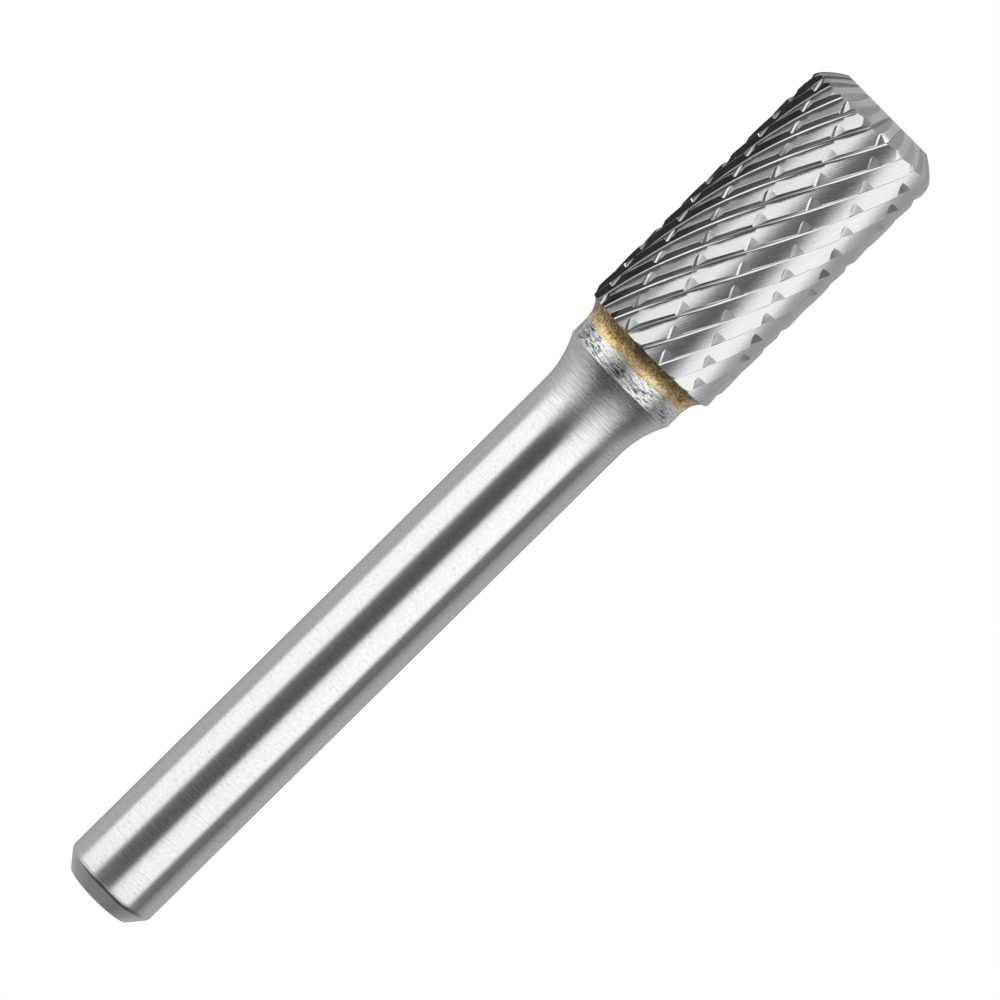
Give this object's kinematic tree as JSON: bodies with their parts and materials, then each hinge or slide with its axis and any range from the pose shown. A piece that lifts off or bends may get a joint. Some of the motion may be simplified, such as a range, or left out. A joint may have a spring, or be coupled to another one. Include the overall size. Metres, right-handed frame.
{
  "type": "carbide burr",
  "caption": "Cylindrical double-cut tungsten carbide burr, brazed to a round steel shank that flares to a collar under the head.",
  "frame": {"origin": "centre of the flat end of the cutting head, on which the burr stands", "axes": "+Z along the burr's axis, from the cutting head towards the free end of the shank"},
  "size_m": [0.0096, 0.0096, 0.0662],
  "materials": {
    "carbide": "ground and polished tungsten carbide",
    "braze": "as brazed, slightly grainy",
    "steel": "cylindrically ground"
  },
  "bodies": {
    "root": {"cutting_head": "carbide", "braze_joint": "braze", "shank": "steel"}
  },
  "joints": []
}
